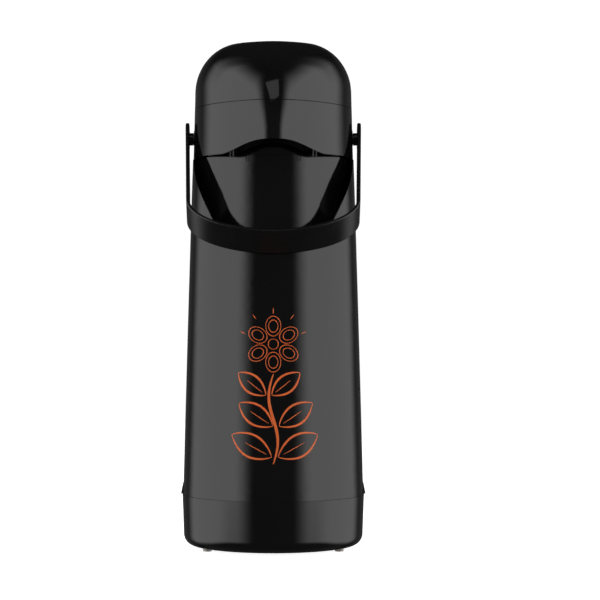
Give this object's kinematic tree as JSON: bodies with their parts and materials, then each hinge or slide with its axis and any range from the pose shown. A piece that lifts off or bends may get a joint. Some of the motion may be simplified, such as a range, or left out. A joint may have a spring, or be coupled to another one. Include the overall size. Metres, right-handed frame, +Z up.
{
  "type": "airpot",
  "caption": "Black pump vacuum flask: tapered round body on a base cap, beaked flip-up head with a press button and hidden spout, swinging strap handle.",
  "frame": {"origin": "on the table under the middle of the round body, in the plane of the three feet", "axes": "+Z up along the body, -Y towards the beak and the spout, +Y towards the hinge of the head, X across along the handle's pivots"},
  "size_m": [0.128, 0.149, 0.3501],
  "materials": {
    "black_gloss": "high gloss moulded",
    "black_handle": "semi-gloss moulded",
    "inner_plastic": "satin moulded",
    "tube_plastic": "extruded natural",
    "rubber_black": "matte",
    "silicone": "satin",
    "foam": "matte",
    "silvered_glass": "silvered",
    "steel": "turned",
    "spring_steel": "drawn"
  },
  "bodies": {
    "body": {"base_cap": "black_gloss", "base_feet": "silicone", "base_cushion": "foam", "body_shell": "black_gloss", "collar": "black_gloss", "liner_outer_glass": "silvered_glass", "liner_inner_glass": "silvered_glass", "liner_spacers": "foam", "neck_gasket": "silicone", "tube_holder": "inner_plastic", "dip_tube": "tube_plastic", "head_hinge_pin": "steel", "handle_pins": "steel"},
    "head": {"head_housing": "black_gloss", "hood_cover": "black_gloss", "pump_base": "inner_plastic", "pump_screws": "steel", "mouth_gasket": "silicone", "tube_seal": "silicone", "spout_tube": "tube_plastic", "nozzle": "inner_plastic", "bellows": "rubber_black", "bellows_clamp": "inner_plastic", "return_spring": "spring_steel", "outlet_valve": "silicone"},
    "press": {"press_button": "black_gloss", "pusher": "inner_plastic", "inlet_valve": "silicone"},
    "handle": {"handle": "black_handle"}
  },
  "joints": [
    {"name": "handle_swing", "type": "hinge", "parent": "body", "child": "handle", "pos_m": [0, 0, 0.283], "axis": [-1, 0, 0], "range_deg": [0, 272]},
    {"name": "head_flip", "type": "hinge", "parent": "body", "child": "head", "pos_m": [0, 0.0593, 0.2685], "axis": [-1, 0, 0], "range_deg": [0, 95]},
    {"name": "button_press", "type": "slide", "parent": "head", "child": "press", "axis": [0, 0, -1], "range_m": [0, 0.017], "stiffness_N_per_m": 500, "springref_m": -0.012, "deforming": ["bellows", "return_spring"]}
  ]
}
